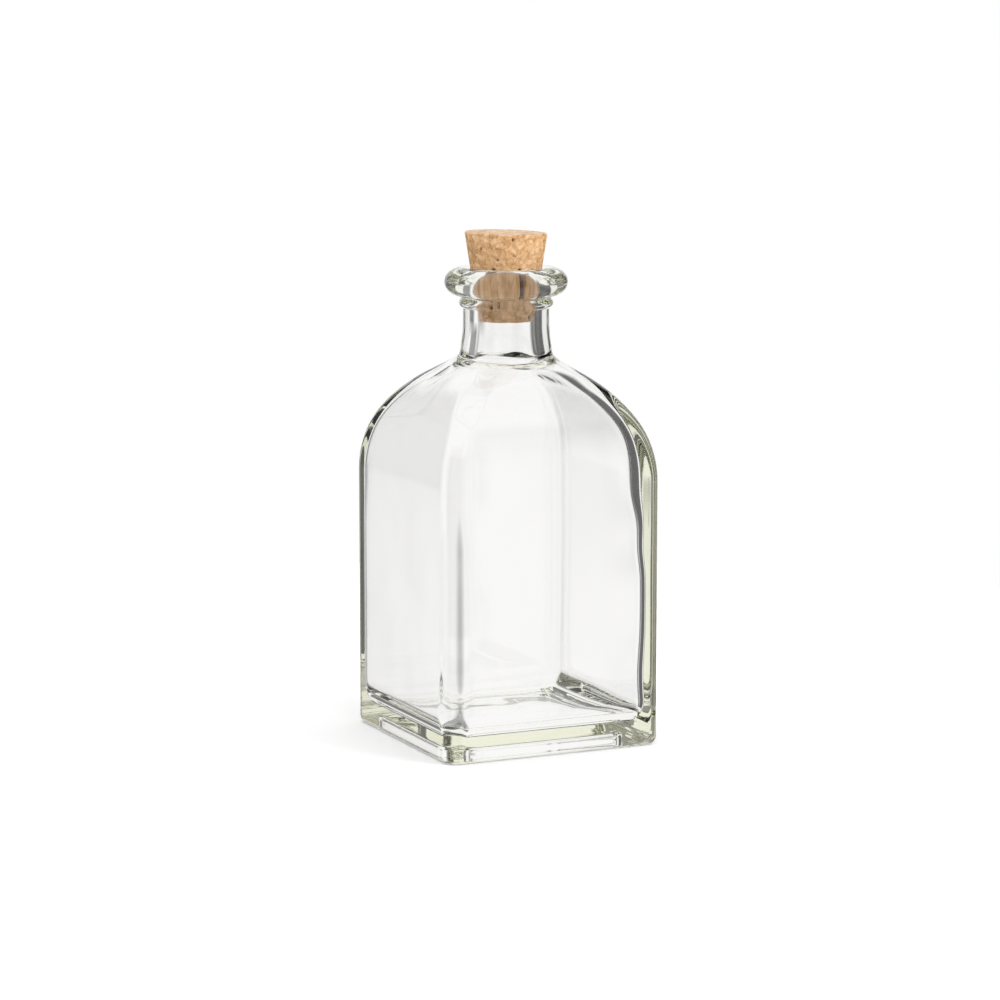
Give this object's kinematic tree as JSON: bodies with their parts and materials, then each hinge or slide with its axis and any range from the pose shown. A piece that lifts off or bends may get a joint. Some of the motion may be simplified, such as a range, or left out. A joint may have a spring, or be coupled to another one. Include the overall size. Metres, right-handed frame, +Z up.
{
  "type": "glass bottle with cork stopper",
  "caption": "Square clear glass bottle with arched shoulders, a short round neck with a rolled lip and a tapered cork stopper.",
  "frame": {"origin": "centre of the base, on the surface the bottle stands on", "axes": "+Z up along the neck; the four walls face -X, +X, -Y and +Y; -Y is the broad wall seen in front"},
  "size_m": [0.0676, 0.0676, 0.1476],
  "materials": {
    "glass": "gloss",
    "cork": "matte"
  },
  "bodies": {
    "root": {"glass_bottle": "glass", "cork_stopper": "cork"}
  },
  "joints": []
}
